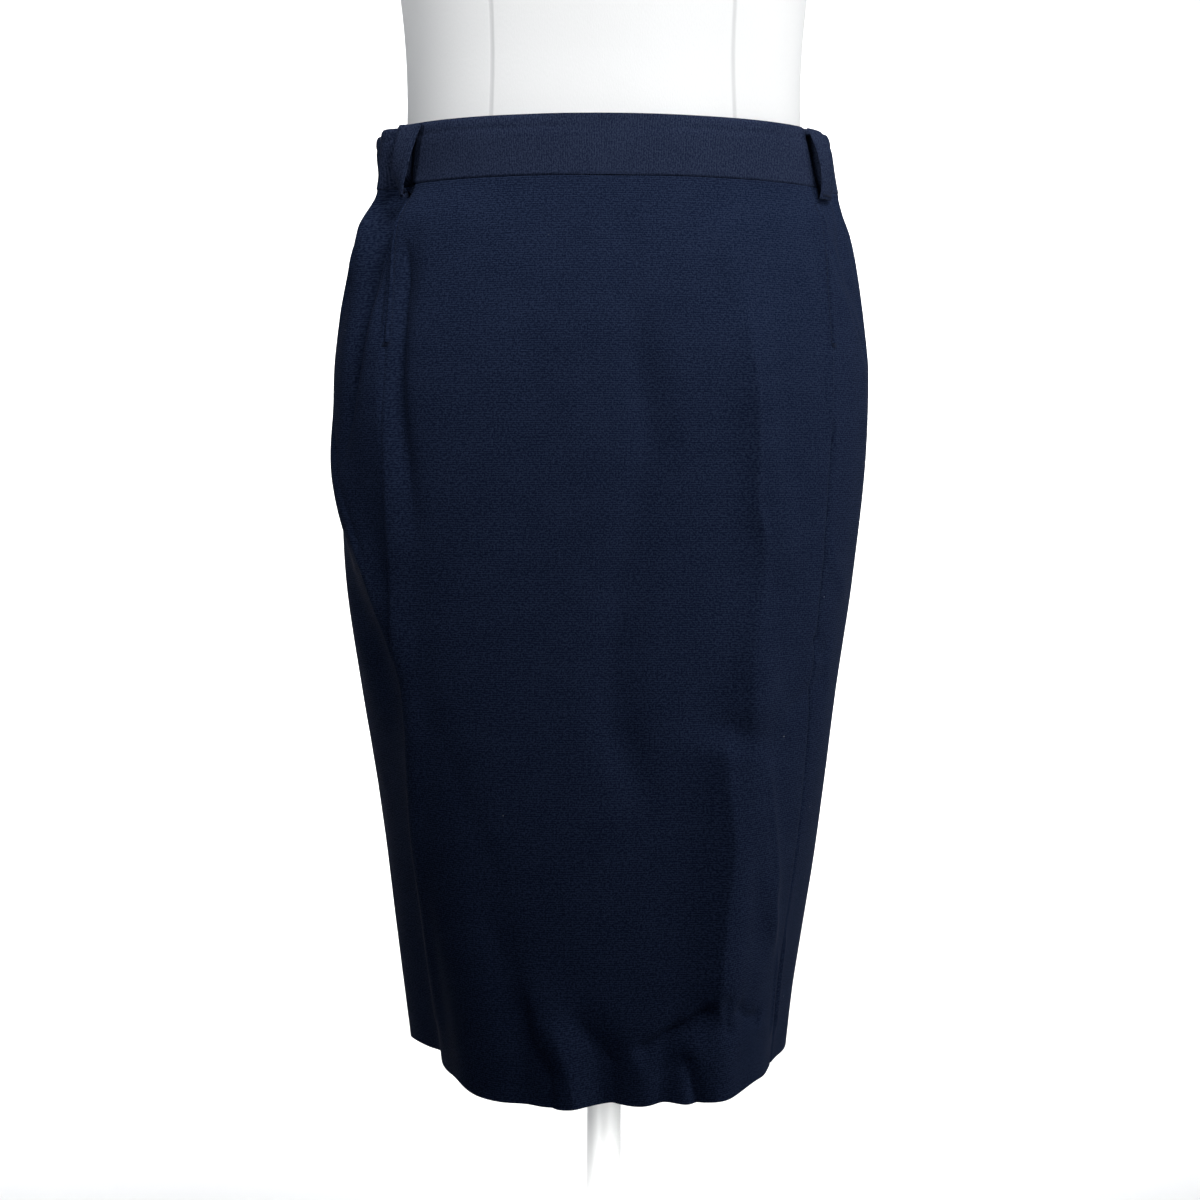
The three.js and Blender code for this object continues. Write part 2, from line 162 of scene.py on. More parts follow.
FLOOR_DARKER = (0.72, 0.72, 0.72, 1)
FLOOR_LIGHTER = (0.7488, 0.7488, 0.7488, 1)
FLOOR_HALF = 3600
PAPER_HALF = 1900
PAPER_AWAY = 3000
PAPER_BEND = 500
PAPER_TOP = 2400
PAPER_STEPS = 24


def backdrop():
    """A pale floor, and a sheet of paper on it that turns up behind the object in a quarter circle."""
    profile = []
    for step in range(PAPER_STEPS + 1):
        turn = math.pi / 2 * step / PAPER_STEPS
        profile.append((PAPER_AWAY + PAPER_BEND * math.sin(turn), PAPER_BEND * (1 - math.cos(turn))))
    profile.append((PAPER_AWAY + PAPER_BEND, PAPER_TOP))
    corners = [(side * PAPER_HALF * MM, y * MM, z * MM) for y, z in profile for side in (-1, 1)]
    faces = [(2 * i, 2 * i + 1, 2 * i + 3, 2 * i + 2) for i in range(len(profile) - 1)]
    first = len(corners)
    corners += [(side * FLOOR_HALF * MM, end * FLOOR_HALF * MM, 0) for end in (-1, 1) for side in (-1, 1)]
    faces.append((first, first + 1, first + 3, first + 2))
    mesh = bpy.data.meshes.new("studio_floor")
    mesh.from_pydata(corners, [], faces)
    mesh.shade_smooth()
    made = bpy.data.objects.new("studio_floor", mesh)
    bpy.context.scene.collection.objects.link(made)
    return made


floor = backdrop()
floor_material, wire, link = material("studio_floor", Roughness=0.9, Specular_IOR_Level=0.2)
grain = wire.node("TexNoise", None, {"Scale": 2.0, "Detail": 2.0})
link("Base Color", grain.blend(FLOOR_DARKER, FLOOR_LIGHTER))
floor.data.materials.append(floor_material)


def lamp(name, place, target, size, watts, spread=180):
    """A soft box at place that shines towards target. A grid in front keeps its light within the spread."""
    data = bpy.data.lights.new(name, "AREA")
    data.shape = "RECTANGLE"
    data.size, data.size_y = (length * MM for length in size)
    data.energy = watts
    data.spread = math.radians(spread)
    made = bpy.data.objects.new(name, data)
    place = Vector(place) * MM
    towards = Vector(target) * MM - place
    made.matrix_world = Matrix.Translation(place) @ towards.to_track_quat("-Z", "Y").to_matrix().to_4x4()
    bpy.context.scene.collection.objects.link(made)
    return made


# Each lamp's name, place, the point it shines at, size, watts and spread in degrees
LAMPS = (
    ("key_lamp", (560, -1250, 2150), (0, 0, 1290), (800, 500), 5.5, 58),
    ("fill_lamp", (-1150, -750, 2000), (0, 0, 1290), (400, 400), 1.9, 52),
    ("side_lamp", (1500, -250, 900), (0, 0, 800), (400, 1300), 5.2, 120),
    ("floor_lamp_left", (-1250, 600, 2000), (-200, 1900, 400), (1000, 1000), 21, 90),
    ("floor_lamp_right", (1250, 600, 2000), (300, 1900, 400), (1000, 1000), 23.5, 90),
    ("paper_lamp_left", (-1500, 2100, 2300), (-200, 3500, 700), (1000, 1000), 24, 90),
    ("paper_lamp_right", (1500, 2100, 2300), (450, 3500, 950), (1000, 1000), 34, 90),
    ("pole_lamp_left", (-560, -760, 150), (0, 0, 175), (60, 120), 0.3, 20),
    ("pole_lamp_right", (560, -760, 150), (0, 0, 175), (60, 120), 0.3, 20),
)
for lamp_row in LAMPS:
    lamp(*lamp_row)

WORLD_COLOUR = (0.45, 0.68, 1.0, 1)
WORLD_STRENGTH = 0.06

world = bpy.data.worlds.new("studio")
world.use_nodes = True
world.node_tree.nodes["Background"].inputs["Color"].default_value = WORLD_COLOUR
world.node_tree.nodes["Background"].inputs["Strength"].default_value = WORLD_STRENGTH
bpy.context.scene.world = world
bpy.context.scene.view_settings.view_transform = "Standard"

# The stand
# A steel base plate, a steel tube pole, a collar that holds the pole upright on the plate, and a flanged
# socket screwed under the form that the pole's top sits in. All are turned or pressed, and enamelled white.
SEAM_GAP = 0.3
BASE_RADIUS = 170
BASE_THICK = 6
POLE_RADIUS = 12
FORM_BOTTOM = 298
POLE_FOOT = BASE_THICK + SEAM_GAP
POLE_TOP = HEM_HEIGHT + FORM_BOTTOM - SEAM_GAP
BORE = POLE_RADIUS + SEAM_GAP
SLEEVE = BORE + 4.7
HUB = {"radius": 34, "flange": 4, "cone": 10, "height": 42}
SOCKET = {"radius": 42, "flange": 5, "cone": 3, "height": 46}


def new_piece(name, points, faces, slot_name, *nodes):
    """A smooth mesh piece from points in millimetres, which stands for the CAD nodes named after it."""
    mesh = bpy.data.meshes.new(name)
    mesh.from_pydata((np.asarray(points, float) * MM).tolist(), [], faces)
    mesh.validate()
    mesh.shade_smooth()
    made = bpy.data.objects.new(name, mesh)
    bpy.context.scene.collection.objects.link(made)
    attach(made, "root")
    if nodes:
        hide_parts(*nodes)
    return made


def rounded(profile, radius, steps=4):
    """A turning's profile with each inner corner rounded by an arc."""
    made = [profile[0]]
    for before, corner, after in zip(profile, profile[1:], profile[2:]):
        corner = Vector(corner)
        back = Vector(before) - corner
        on = Vector(after) - corner
        reach = min(radius, 0.45 * back.length, 0.45 * on.length)
        start = corner + back.normalized() * reach
        end = corner + on.normalized() * reach
        for step in range(steps + 1):
            t = step / steps
            made.append(tuple((1 - t) ** 2 * start + 2 * t * (1 - t) * corner + t * t * end))
    return made + [profile[-1]]


def turned_piece(name, profile, node, sides=96):
    """A piece turned on the pole's axis. Its profile ends on the axis at both ends, or closes on itself."""
    closed = profile[0] == profile[-1]
    rows = profile[:-1] if closed else profile
    turns = np.linspace(0, 2 * math.pi, sides, endpoint=False)
    points = [
        (radius * math.cos(turn), radius * math.sin(turn), height)
        for radius, height in rows
        for turn in turns
    ]
    faces = []
    for row in range(len(rows) if closed else len(rows) - 1):
        lower = row * sides
        upper = (row + 1) % len(rows) * sides
        for side in range(sides):
            beside = (side + 1) % sides
            faces.append((lower + side, lower + beside, upper + beside, upper + side))
    if not closed:
        faces.append(tuple(range(sides))[::-1])
        faces.append(tuple((len(rows) - 1) * sides + side for side in range(sides)))
    made = new_piece(name, points, faces, "stand_enamel", node)
    made.data.set_sharp_from_angle(angle=math.radians(50))
    made.data.materials.append(enamel)
    return made


enamel, wire, link = material("white_enamel", Specular_IOR_Level=0.5, Coat_Weight=0.15, Coat_Roughness=0.2)
place = wire.node("TexCoord", output=3)
wear = wire.node("TexNoise", None, {"Vector": place, "Scale": 14.0, "Detail": 5.0})
peel = wire.node("TexNoise", None, {"Vector": place, "Scale": 420.0, "Detail": 1.0})
link("Base Color", wear.blend((0.79, 0.79, 0.78, 1), (0.86, 0.86, 0.85, 1)))
link("Roughness", 0.28 + 0.16 * wear)
link("Normal", wire.node("Bump", None, {"Height": peel, "Strength": 0.08, "Distance": 0.0002}))

base_edge = [
    (BASE_RADIUS - 1, 0),
    (BASE_RADIUS, 0.8),
    (BASE_RADIUS, BASE_THICK / 2),
    (BASE_RADIUS - BASE_THICK / 2, BASE_THICK),
    (0.5, BASE_THICK),
]
turned_piece("base_plate", rounded([(0.5, 0)] + base_edge, 2.4), "stand_base", 160)
turned_piece(
    "pole",
    rounded([(0.5, POLE_FOOT), (POLE_RADIUS, POLE_FOOT), (POLE_RADIUS, POLE_TOP), (0.5, POLE_TOP)], 0.8),
    "stand_pole",
)
hub_top = POLE_FOOT + HUB["height"]
hub_flange = POLE_FOOT + HUB["flange"]
hub_profile = [
    (BORE, hub_top),
    (BORE, POLE_FOOT),
    (HUB["radius"], POLE_FOOT),
    (HUB["radius"], hub_flange),
    (SLEEVE + 1, hub_flange + HUB["cone"]),
    (SLEEVE, hub_top),
    (BORE, hub_top),
]
turned_piece("pole_collar", rounded(hub_profile, 1.6), "stand_hub")
socket_foot = POLE_TOP - SOCKET["height"]
socket_flange = POLE_TOP - SOCKET["flange"]
socket_profile = [
    (BORE, POLE_TOP),
    (BORE, socket_foot),
    (SLEEVE, socket_foot),
    (SLEEVE + 1, socket_flange - SOCKET["cone"]),
    (SOCKET["radius"], socket_flange),
    (SOCKET["radius"], POLE_TOP),
    (BORE, POLE_TOP),
]
turned_piece("form_socket_plate", rounded(socket_profile, 1.6), "form_socket")

# The dress form
# A light shell of a torso without limbs, closed at the neck and under the hips, and covered tightly in white
# cotton jersey. The cover is sewn from panels that meet in a seam down each side of the front and back, and
# each seam is darkened with painted shade where it sinks in.
FORM_COLUMNS = "height wide front back middle square"
FORM_ROWS = (
    (298, 148, 95, 112, 6, 2.3),
    (303, 155, 101, 119, 6, 2.3),
    (320, 159, 106, 125, 6, 2.3),
    (360, 164, 112, 132, 5, 2.25),
    (420, 170, 117, 136, 3, 2.2),
    (470, 169, 118.5, 134, 1, 2.15),
    (520, 160, 116, 126, 0, 2.1),
    (560, 146, 112.6, 116, 0, 2.1),
    (596, 138, 111.6, 108, 0, 2.1),
    (635, 134.6, 109.1, 104, 0, 2.1),
    (677, 134.4, 107, 101, 0, 2.1),
    (720, 137.5, 109, 102, 0, 2.1),
    (780, 146, 114, 105, 0, 2.15),
    (830, 153, 119, 108, 0, 2.2),
    (880, 157, 120, 111, 0, 2.25),
    (930, 159, 114, 115, 2, 2.3),
    (980, 163, 103, 119, 5, 2.3),
    (1020, 172, 92, 119, 8, 2.25),
    (1045, 180, 84, 116, 10, 2.2),
    (1060, 181, 79, 112, 11, 2.15),
    (1070, 174, 75, 108, 12, 2.1),
    (1082, 150, 69, 102, 13, 2.05),
    (1094, 119, 63, 95, 13, 2),
    (1106, 90, 57, 86, 12, 2),
    (1118, 70, 51, 75, 11, 2),
    (1134, 59, 47, 66, 9, 2),
    (1160, 55.5, 46, 62, 8, 2),
    (1168, 53.5, 44, 60, 8, 2),
    (1172, 48, 38.5, 54.5, 8, 2),
)
BUST = {"height": 868, "tall": 46, "angle": 26, "wide": 22, "depth": 15}
FORM_SEAM_ANGLE = 41


def table(columns, rows):
    """The table's columns as arrays by name."""
    return dict(zip(columns.split(), np.array(rows, float).T))


def follow(columns, name, height):
    """A column of a table at any height, on a smooth curve through its rows."""
    heights = columns["height"]
    values = columns[name]
    before = np.clip(np.arange(len(heights)) - 1, 0, None)
    after = np.clip(np.arange(len(heights)) + 1, None, len(heights) - 1)
    slope = (values[after] - values[before]) / (heights[after] - heights[before])
    i = np.clip(np.searchsorted(heights, height) - 1, 0, len(heights) - 2)
    step = heights[i + 1] - heights[i]
    t = np.clip((height - heights[i]) / step, 0, 1)
    bend = t * t * (3 - 2 * t)
    start = t * (1 - t) ** 2 * step * slope[i]
    end = t * t * (t - 1) * step * slope[i + 1]
    return values[i] + (values[i + 1] - values[i]) * bend + start + end


def bell(x):
    return np.exp(-x * x)


def section_radius(angle, left, right, front, back, square):
    """The radius of a rounded-square section in the direction of an angle."""
    across = np.sin(np.radians(angle))
    forward = np.cos(np.radians(angle))
    side = np.abs(across) / np.where(across > 0, right, left)
    depth = np.abs(forward) / np.where(forward > 0, front, back)
    return (side**square + depth**square) ** (-1 / square)


def polar_points(angle, radius, middle, height):
    """Points in millimetres of the row's frame, from angles and radii about the body's axis."""
    turn = np.radians(angle)
    return np.stack([radius * np.sin(turn), middle - radius * np.cos(turn), HEM_HEIGHT + height], -1)


def with_uv(piece, across, up):
    """Gives the piece a map in metres: across and up are one value a vertex."""
    mesh = piece.data
    corners = np.empty(len(mesh.loops), int)
    mesh.loops.foreach_get("vertex_index", corners)
    uv = np.stack([np.asarray(across).ravel()[corners], np.asarray(up).ravel()[corners]], -1)
    mesh.uv_layers.new(name="cloth").data.foreach_set("uv", uv.ravel())


form_table = table(FORM_COLUMNS, FORM_ROWS)
CLOTH_GAP = 0.4  # the least gap between the form and the cloth on it
CLOTH_GAP_SOFT = 0.2


def clear_of_form(points):
    """How much farther out points have to be, so that the cloth lies on the form and not in it."""
    height = points[..., 2] - HEM_HEIGHT
    middle = follow(form_table, "middle", height)
    square = follow(form_table, "square", height)
    across = np.abs(points[..., 0])
    forward = points[..., 1] - middle
    front = follow(form_table, "front", height) + middle
    back = follow(form_table, "back", height) - middle
    side = across / follow(form_table, "wide", height)
    depth = np.abs(forward) / np.where(forward < 0, front, back)
    ratio = (side**square + depth**square) ** (1 / square)
    missing = CLOTH_GAP - np.hypot(across, forward) * (1 - 1 / ratio)
    return (missing + np.hypot(missing, CLOTH_GAP_SOFT)) / 2 * (height > FORM_BOTTOM)


FORM_SIDES = 180
FORM_STEP = 6.0
FORM_TOP = FORM_ROWS[-1][0]
steps_up = np.arange(FORM_BOTTOM + FORM_STEP, FORM_TOP, FORM_STEP)
form_heights = np.unique(np.concatenate([form_table["height"], steps_up]))[::-1]
form_angles = np.linspace(-180, 180, FORM_SIDES, endpoint=False)
height, angle = np.meshgrid(form_heights, form_angles, indexing="ij")
middle = follow(form_table, "middle", height)
wide = follow(form_table, "wide", height)
radius = section_radius(
    angle,
    wide,
    wide,
    follow(form_table, "front", height) + middle,
    follow(form_table, "back", height) - middle,
    follow(form_table, "square", height),
)
breast = bell((angle - BUST["angle"]) / BUST["wide"]) + bell((angle + BUST["angle"]) / BUST["wide"])
radius = radius + BUST["depth"] * bell((height - BUST["height"]) / BUST["tall"]) * breast
points = polar_points(angle, radius, middle, height).reshape(-1, 3)
faces = []
for row in range(len(form_heights) - 1):
    for side in range(FORM_SIDES):
        beside = (side + 1) % FORM_SIDES
        upper = row * FORM_SIDES
        lower = upper + FORM_SIDES
        faces.append((upper + side, lower + side, lower + beside, upper + beside))
last = (len(form_heights) - 1) * FORM_SIDES
faces.append(tuple(range(FORM_SIDES)))
faces.append(tuple(last + side for side in range(FORM_SIDES))[::-1])
dress_form = new_piece("dress_form", points, faces, "form_jersey", "form_body")
dress_form.data.set_sharp_from_angle(angle=math.radians(60))
with_uv(dress_form, angle * MM, height * MM)

jersey, wire, link = material("white_jersey", Roughness=0.85, Specular_IOR_Level=0.25, Sheen_Weight=0.1)
uv = wire.node("TexCoord", output=2)
split = wire.node("SeparateXYZ", None, {0: uv})
across = split
up = wire.node("SeparateXYZ", None, {0: uv}, 1)
seam = abs(abs(across) - FORM_SEAM_ANGLE * MM)
back_seam = abs(abs(across) - (180 - FORM_SEAM_ANGLE) * MM)
seam_groove_and_shade = seam.maths("MINIMUM", seam, back_seam).between(0.0002, 0.0011)
ribs = wire.node("CombineXYZ", None, {0: across * 2400.0, 1: up * 420.0, 2: 0.0})
knit = wire.node("TexNoise", None, {"Vector": ribs, "Scale": 1.0, "Detail": 2.0})
cloud = wire.node("TexNoise", None, {"Vector": wire.node("TexCoord", output=3), "Scale": 9.0, "Detail": 3.0})
shade = 0.5 * knit + 0.5 * cloud
cream = shade.blend((0.71, 0.71, 0.705, 1), (0.78, 0.78, 0.775, 1))
# The grey along each seam is painted shade where the seam sinks in. The same mask also sinks the seam in the
# bump.
link("Base Color", seam_groove_and_shade.blend((0.6, 0.6, 0.6, 1), cream))
link(
    "Normal",
    wire.node("Bump", None, {"Height": knit * 0.25 + seam_groove_and_shade, "Strength": 0.5, "Distance": 0.0006}),
)
dress_form.data.materials.append(jersey)

# The front panel
# One piece of navy wool-blend cloth with a fine crosswise rib, cut narrower at the hem. It hangs from the
# front band's seam to a turned-up hem, and its folds are where the cloth relaxes below the hip.
SKIRT_LENGTH = 635
BAND_HEIGHT = 39
BAND_BOTTOM = SKIRT_LENGTH - BAND_HEIGHT
CLOTH = 0.9
HEM_TURNED_UP = 40
HEM_CLOTH = 1.8
HEM_STEP = 1.5
EDGE_TURN = 1.2  # the sides of each piece turn in here, to the seam
EDGE_TURN_WIDTH = 1.5
ARC = 2.62  # millimetres round the body in one degree, near enough to place creases

skirt_table = table(
    "height left right front back middle square",
    (
        (0, 134, 128, 132, 142, 8, 2.2),
        (60, 141, 134.5, 133, 143, 8, 2.25),
        (150, 152, 148, 132, 144, 8, 2.3),
        (250, 167.5, 160, 129, 144, 6, 2.3),
        (330, 178.5, 171, 127, 143, 4, 2.25),
        (420, 185, 180, 126, 142, 2, 2.2),
        (480, 185, 181, 124, 139, 0, 2.15),
        (530, 177, 175, 120, 133, 0, 2.1),
        (570, 167, 167, 116, 125, 0, 2.1),
        (596, 150.5, 158, 114, 118, 0, 2.1),
        (635, 152, 152.5, 111.5, 113, 0, 2.1),
    ),
)
seam_table = table(
    "height left right",
    ((0, -74, 60), (120, -67, 57), (300, -60, 58), (460, -62.5, 61.5), (596, -66, 65.5), (635, -63, 64.5)),
)

# Large folds: top, bottom, angle at the top, halfway and at the bottom, depth, width in degrees, and the
# lengths over which a fold grows below its top and dies away above its bottom.
FOLDS = (
    ("left seam ridge", 470, 0, -59.5, -56, -62, 4, 4, 120, 90),
    ("left seam trough", 470, 0, -64, -70, -77, -18.5, 15, 380, 0),
    ("left corner ease", 180, 0, -60, -58, -56, -8, 10, 140, 0),
    ("left hip ridge", 460, 265, -87, -73, -60, 5, 6, 60, 60),
    ("left hip trough", 430, 220, -92, -80, -66, -4, 7, 60, 80),
    ("left waist trough", 625, 470, -73, -70, -72, -4, 4, 45, 80),
    ("left waist ridge", 630, 490, -78, -79, -89, 3, 3.5, 40, 50),
    ("front left trough", 580, 350, -58, -59.5, -54, -2.5, 3, 60, 90),
    ("hem trough 1", 180, 0, -37, -30, -25, -3, 4.5, 90, 0),
    ("hem ridge 1", 110, 0, -22, -18, -15, 6, 6, 80, 0),
    ("hem trough 2", 75, 0, -8, -3, -2, -5, 5, 60, 0),
    ("centre trough, upper", 545, 300, 6, 12, 2, -2.6, 5, 90, 40),
    ("centre trough, lower", 335, 165, 3, -1, 9, -2.6, 5, 40, 70),
    ("hem trough 3", 75, 0, 16, 14, 13, -3, 3.5, 60, 0),
    ("hem ridge 2", 80, 0, 22, 20, 19, 4, 4, 60, 0),
    ("right corner, upper", 530, 325, 40, 40, 46, 3, 5, 80, 40),
    ("right corner, lower", 345, 0, 40, 32, 28, 6, 6, 80, 0),
    ("right low ridge", 230, 65, 38, 40, 48, 3, 4, 60, 60),
    ("right side hollow", 260, 0, 60, 58, 60, -7, 13, 200, 0),
    ("right waist ridge", 590, 465, 63, 69, 78, 2.5, 4, 40, 60),
    ("right waist trough", 596, 480, 70, 76, 84, -3.5, 4.5, 40, 60),
    ("back right ridge", 360, 0, 112, 116, 120, 6, 8, 220, 0),
    ("back right trough", 400, 0, 140, 146, 150, -7, 8, 240, 0),
    ("back centre ridge", 320, 0, 178, -178, -172, 4, 9, 220, 0),
    ("back left trough", 360, 0, -128, -134, -136, -7, 8, 220, 0),
    ("back left ridge", 380, 0, -108, -110, -107, 6, 11, 220, 0),
)

# Where the hem hangs higher: angle, rise, width in degrees
HEM_RISES = (
    (-140, 3, 14),
    (-96, 6, 14),
    (-72, 9, 14),
    (-50, 5, 9),
    (-4, 2, 7),
    (13, 2, 4),
    (44, 4, 8),
    (64, 7, 12),
    (84, 10, 13),
    (110, 4, 16),
    (152, 3, 12),
)
RISE_FADE = 110

# Creases: depth, width on the side of smaller angles and on the other, radius of its rounding, length of the
# fade at the top and at the bottom, and the line from the top down as angles and heights. Where a crease
# slopes, the first width lies under it if it falls towards larger angles.
CREASES = (
    (
        "left waist pleat", -13, 6, 5, 2.5, 16, 110,
        ((-70, 606), (-70.5, 581), (-72, 560), (-73.5, 535), (-74, 510),
         (-73.5, 480), (-75, 430), (-78, 395)),
    ),
    (
        "left waist roll", 2.5, 6, 3, 2, 30, 40,
        ((-78, 604), (-78, 581), (-79, 559), (-81, 543), (-84, 530), (-89, 500)),
    ),
    ("left outer pleat", -8, 5, 5, 2, 16, 50, ((-85, 604), (-85, 578), (-88, 552), (-93, 524), (-98, 498))),
    ("left lap valley", -2, 3, 1.5, 0.6, 6, 20, ((-68.5, 592), (-67.5, 550), (-66, 520), (-64.5, 486))),
    ("left pleat line", -2.6, 1.6, 3, 0.4, 8, 30, ((-69.5, 602), (-68.8, 575), (-69, 550), (-70, 512))),
    ("left outer line", -2.6, 3, 1.6, 0.4, 10, 30, ((-76, 602), (-77.5, 575), (-80, 545), (-86, 510))),
    ("left hip line", -3.4, 2, 4, 0.4, 30, 40, ((-85, 446), (-79, 412), (-72, 372), (-65, 330))),
    (
        "left inner valley", -2.5, 3, 2, 0.5, 20, 50,
        ((-61.5, 566), (-60.4, 540), (-60, 515), (-59.2, 485), (-58, 440), (-57, 395)),
    ),
    ("left soft fold", -1.3, 12, 14, 6, 60, 80, ((-25, 530), (-24, 470), (-26, 400), (-30, 320))),
    ("left soft fold 2", -1, 8, 10, 4, 40, 60, ((-17, 580), (-18, 540), (-17, 490))),
    (
        "front left trough", -4, 12, 5, 2, 50, 80,
        ((-58, 574), (-60, 550), (-60.5, 514), (-58, 459), (-55, 402), (-52, 350)),
    ),
    (
        "left hip pull", 3.5, 3, 14, 1, 60, 30,
        ((-88, 448), (-81, 424), (-73, 375), (-67, 335), (-62, 294), (-58, 262)),
    ),
    (
        "left seam edge", 2.2, 2.5, 12, 1, 60, 20,
        ((-63, 488), (-61, 410), (-59, 336), (-58, 270), (-59, 210), (-62, 120), (-66, 20)),
    ),
    (
        "centre trough", -2.6, 26, 8, 6, 60, 60,
        ((7, 516), (11, 422), (9, 377), (3, 327), (0, 276), (4, 237), (7, 186)),
    ),
    ("right upper break", 2, 12, 20, 5, 30, 60, ((30, 584), (32, 555), (36, 520), (40, 480), (40, 440))),
    (
        "right corner", 6, 13, 16, 1.5, 70, 30,
        ((37, 520), (37, 385), (39, 366), (39, 344), (38, 325), (35, 291), (34, 230)),
    ),
    ("right corner edge", 1.5, 2, 2.4, 0.5, 60, 40, ((37, 530), (37, 385), (38.6, 366), (38.6, 340))),
    (
        "right lower corner", 9, 13, 18, 1, 24, 40,
        ((30.5, 246), (27.6, 226), (27.6, 214), (28.5, 168), (26.5, 126), (25.5, 84), (25, 45)),
    ),
    ("right low ridge", 2.6, 5, 7, 1.5, 30, 30, ((38, 232), (40, 212), (42, 184), (45, 150), (47, 120))),
    ("right low ridge 2", 2, 4, 7, 1.5, 20, 30, ((43, 150), (45, 120), (49, 84))),
    (
        "right seam ridge", 2.6, 3, 2.6, 0.6, 12, 60,
        ((66, 586), (63.2, 550), (62.6, 523), (61.2, 479), (60.6, 455), (63, 400)),
    ),
    ("right waist pull", -3, 9, 3, 1.5, 15, 20, ((64, 572), (69, 538), (76, 510), (86, 480))),
    ("right hip patch", 2, 5, 9, 2, 15, 20, ((60, 366), (63, 345), (68, 330), (75, 322))),
    ("right pinch", -2.2, 3, 5, 1.5, 6, 8, ((56, 300), (60, 291), (65, 284))),
    ("right diagonal", -2.4, 5, 9, 2.5, 14, 14, ((66, 277), (56, 263), (46, 248))),
    (
        "left long trough", -1.5, 12, 8, 4, 60, 20,
        ((-51, 270), (-44, 220), (-38, 185), (-31, 145), (-27, 100), (-25, 66)),
    ),
    ("hem flute left", -4.5, 9, 3, 2, 24, 0, ((-25, 82), (-23, 47), (-20, 35), (-17, 23), (-17, 0))),
    ("hem roll left", 3, 4, 9, 3, 25, 0, ((-19, 66), (-15, 40), (-12, 20), (-11, 0))),
    ("hem curve", -3.4, 4, 7, 2, 20, 0, ((-13, 64), (-6, 40), (-1, 26), (-1, 0))),
    ("hem pull", -6, 3, 9, 1, 10, 14, ((26, 66), (19, 53), (13, 45), (3, 34))),
    ("hem flute right", -6, 8, 5, 1.2, 14, 0, ((17, 38), (20, 20), (22, 0))),
    ("hem dent", -3.6, 5, 4, 1, 6, 8, ((32, 64), (37, 51), (45, 45))),
    ("hem knee", -2.5, 4, 4, 2, 10, 10, ((28, 74), (29, 55), (31, 36))),
    ("right hem flute 1", 1.6, 2, 2.5, 1, 20, 12, ((52, 96), (54, 60), (55, 22))),
    ("right hem flute 2", 1.6, 2, 2.5, 1, 20, 12, ((58, 104), (60, 60), (61, 18))),
    ("back left pull", 3, 5, 14, 2, 40, 40, ((-100, 440), (-118, 400), (-136, 372), (-152, 356))),
    ("back left seat fold", -3.5, 9, 12, 5, 40, 60, ((-112, 330), (-118, 260), (-122, 190), (-120, 120))),
    ("back right pull", 3.2, 14, 5, 2, 40, 40, ((98, 452), (112, 414), (130, 384), (148, 366))),
    ("back right seat fold", -3.6, 10, 10, 5, 40, 60, ((108, 300), (114, 240), (126, 180), (131, 110))),
    ("back centre trough", -3, 12, 10, 5, 60, 60, ((172, 420), (168, 350), (171, 280), (176, 200))),
    ("back low fold", 3, 7, 12, 3, 30, 0, ((-166, 190), (-160, 120), (-158, 60), (-160, 0))),
    ("back right flute", -4, 7, 7, 3, 40, 0, ((122, 120), (118, 60), (116, 0))),
    ("side right flute", -3, 8, 7, 4, 60, 0, ((92, 190), (94, 100), (93, 0))),
)


def smooth(x):
    x = np.clip(x, 0, 1)
    return x * x * (3 - 2 * x)


def turned(angle):
    return (angle + 180) % 360 - 180


def fold_push(angle, height):
    """How far the large folds push the cloth out."""
    push = np.zeros_like(angle)
    for _, top, bottom, start, halfway, end, depth, width, below, above_end in FOLDS:
        t = (top - height) / (top - bottom)
        first = start + turned(halfway - start) * smooth(t) * 2
        second = halfway + turned(end - halfway) * (smooth(t) * 2 - 1)
        centre = np.where(t < 0.5, first, second)
        ending = smooth((height - bottom) / above_end) if above_end else 1
        push += depth * bell(turned(angle - centre) / width) * smooth((top - height) / below) * ending
    return push


def crease_push(angle, height):
    """How far the creases push the cloth out, by its distance from each crease's line."""
    push = np.zeros_like(angle)
    for _, depth, before, beyond, rounding, top_fade, bottom_fade, line in CREASES:
        line = np.array(line, float)
        steps = np.hypot(np.diff(line[:, 0]) * ARC, np.diff(line[:, 1]))
        along = np.concatenate([[0], np.cumsum(steps)])
        nearest = np.full_like(angle, 1e6)
        side = np.zeros_like(angle)
        reached = np.zeros_like(angle)
        for i, length in enumerate(steps):
            away = turned(angle - line[i, 0]) * ARC
            up = height - line[i, 1]
            run = (line[i + 1, 0] - line[i, 0]) * ARC / length
            rise = (line[i + 1, 1] - line[i, 1]) / length
            foot = np.clip(away * run + up * rise, 0, length)
            distance = np.hypot(away - foot * run, up - foot * rise)
            closer = distance < nearest
            nearest = np.where(closer, distance, nearest)
            side = np.where(closer, run * up - rise * away, side)
            reached = np.where(closer, along[i] + foot, reached)
        width = np.where(side > 0, beyond, before)
        ends = smooth(reached / top_fade)
        if bottom_fade:
            ends = ends * smooth((along[-1] - reached) / bottom_fade)
        push += depth * np.exp((rounding - np.hypot(nearest, rounding)) / width) * ends
    return push


def hem_lift(angle, height):
    lift = sum(rise * bell(turned(angle - centre) / width) for centre, rise, width in HEM_RISES)
    return lift * smooth(1 - height / RISE_FADE)


def skirt_points(angle, height, out=0.0):
    """Points of the cloth's outside, moved out by some millimetres more."""
    middle = follow(skirt_table, "middle", height)
    radius = section_radius(
        angle,
        follow(skirt_table, "left", height),
        follow(skirt_table, "right", height),
        follow(skirt_table, "front", height) + middle,
        follow(skirt_table, "back", height) - middle,
        follow(skirt_table, "square", height),
    )
    radius = radius + fold_push(angle, height) + crease_push(angle, height) + out
    return polar_points(angle, radius, middle, height + hem_lift(angle, height))


WAVE_DEPTH = 0.9
WAVE_SIZE = 42.0
WAVE_STRETCH = 0.3
WAVE_FADE = 60  # no waves at the band, and all of them this far below it


